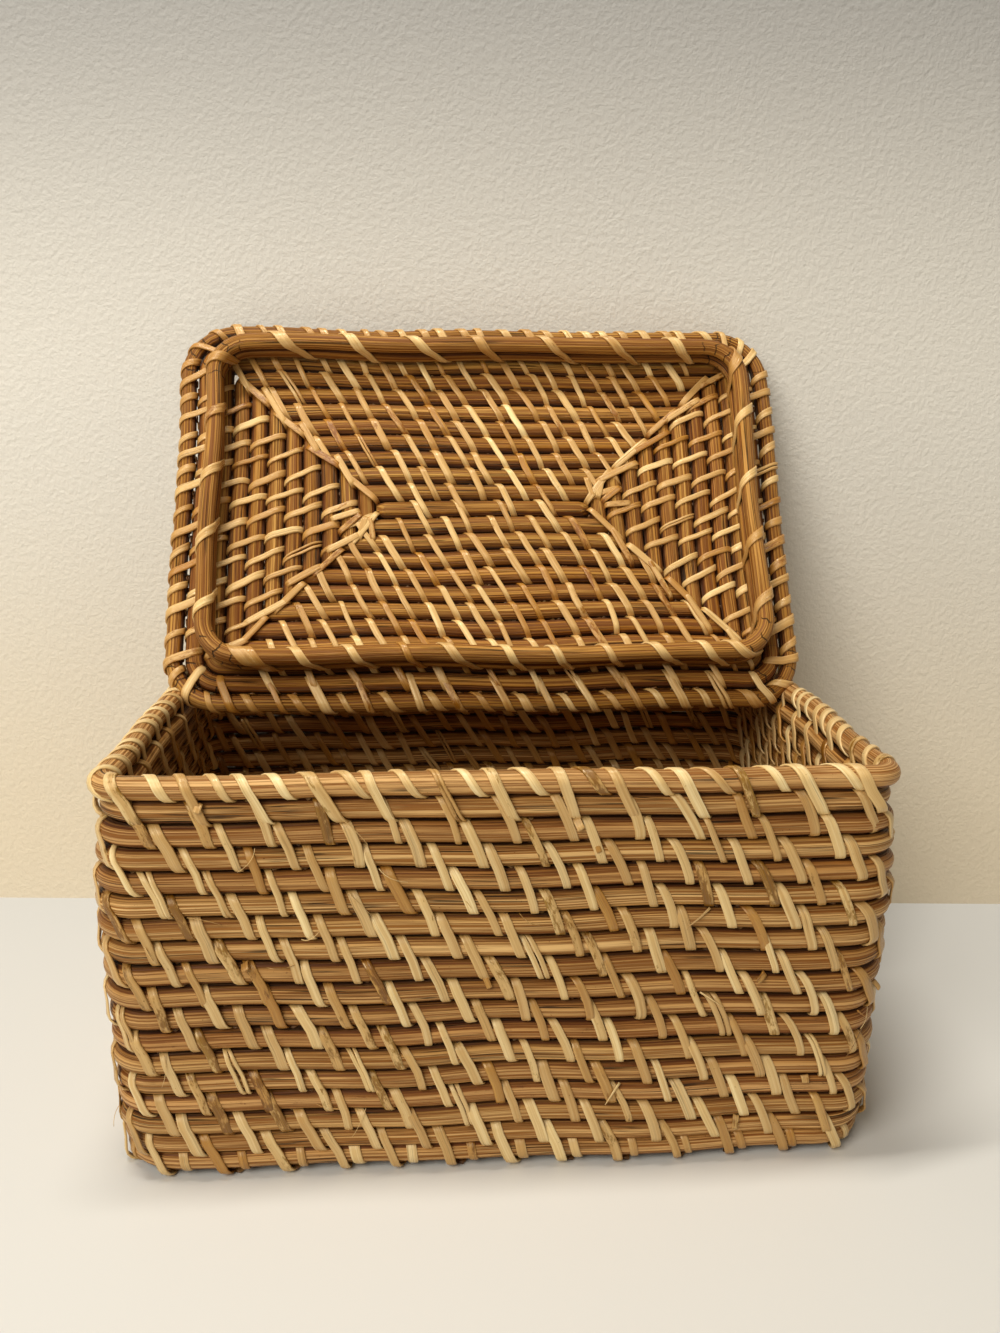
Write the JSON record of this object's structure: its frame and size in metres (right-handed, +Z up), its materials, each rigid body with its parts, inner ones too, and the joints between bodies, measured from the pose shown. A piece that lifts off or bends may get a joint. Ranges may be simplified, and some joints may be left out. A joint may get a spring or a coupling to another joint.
{
  "type": "woven lidded box",
  "caption": "Rectangular box of stacked rattan cane rounds lashed with flat strips; its lift-off lid, with a locating ring beneath, stands open across the side rims.",
  "frame": {"origin": "middle of the underside of the base, on the lowest face of its central cane", "axes": "+X along the width to the right as seen from the front, +Y to the back, +Z up"},
  "size_m": [0.2494, 0.1879, 0.2694],
  "materials": {
    "wall_cane": "satin peeled rattan core, warm tan with long fine grain",
    "base_cane": "satin peeled rattan core, shaded brown",
    "lid_cane": "satin rattan core, darker and more orange",
    "binding_strip": "glossy pale rattan peel"
  },
  "bodies": {
    "box": {"wall_row_01": "wall_cane", "wall_row_02": "wall_cane", "wall_row_03": "wall_cane", "wall_row_04": "wall_cane", "wall_row_05": "wall_cane", "wall_row_06": "wall_cane", "wall_row_07": "wall_cane", "wall_row_08": "wall_cane", "wall_row_09": "wall_cane", "wall_row_10": "wall_cane", "wall_row_11": "wall_cane", "wall_row_12": "wall_cane", "wall_row_13": "wall_cane", "wall_row_14": "wall_cane", "wall_row_15": "wall_cane", "wall_row_16": "wall_cane", "wall_row_17": "wall_cane", "rim_cane": "wall_cane", "rim_binding_front": "binding_strip", "rim_binding_right": "binding_strip", "rim_binding_back": "binding_strip", "rim_binding_left": "binding_strip", "base_round_01": "base_cane", "base_round_02": "base_cane", "base_round_03": "base_cane", "base_round_04": "base_cane", "base_round_05": "base_cane", "base_round_06": "base_cane", "base_round_07": "base_cane", "base_round_08": "base_cane", "base_round_09": "base_cane", "base_round_10": "base_cane", "base_centre_cane": "base_cane"},
    "lid_carrier": {"lid_binding_back": "binding_strip"},
    "lid": {"lid_edge_cane": "lid_cane", "lid_round_02": "lid_cane", "lid_round_03": "lid_cane", "lid_round_04": "lid_cane", "lid_round_05": "lid_cane", "lid_round_06": "lid_cane", "lid_round_07": "lid_cane", "lid_round_08": "lid_cane", "lid_round_09": "lid_cane", "lid_round_10": "lid_cane", "lid_round_11": "lid_cane", "lid_centre_cane": "lid_cane", "locating_ring_cane_01": "lid_cane", "locating_ring_cane_02": "lid_cane", "lid_binding_front": "binding_strip", "lid_binding_right": "binding_strip", "lid_binding_left": "binding_strip"}
  },
  "joints": [
    {"name": "lid_shift", "type": "slide", "parent": "box", "child": "lid_carrier", "axis": [0, 0.9862, 0.1656], "range_m": [0, 0.06474]},
    {"name": "lid_tilt", "type": "hinge", "parent": "lid_carrier", "child": "lid", "pos_m": [0, 0.016, 0.12824], "axis": [1, 0, 0], "range_deg": [0, 120.9]}
  ],
  "couplings": [
    {"joint": "lid_shift", "follows": "lid_tilt", "m_per_rad": 0.030659}
  ]
}
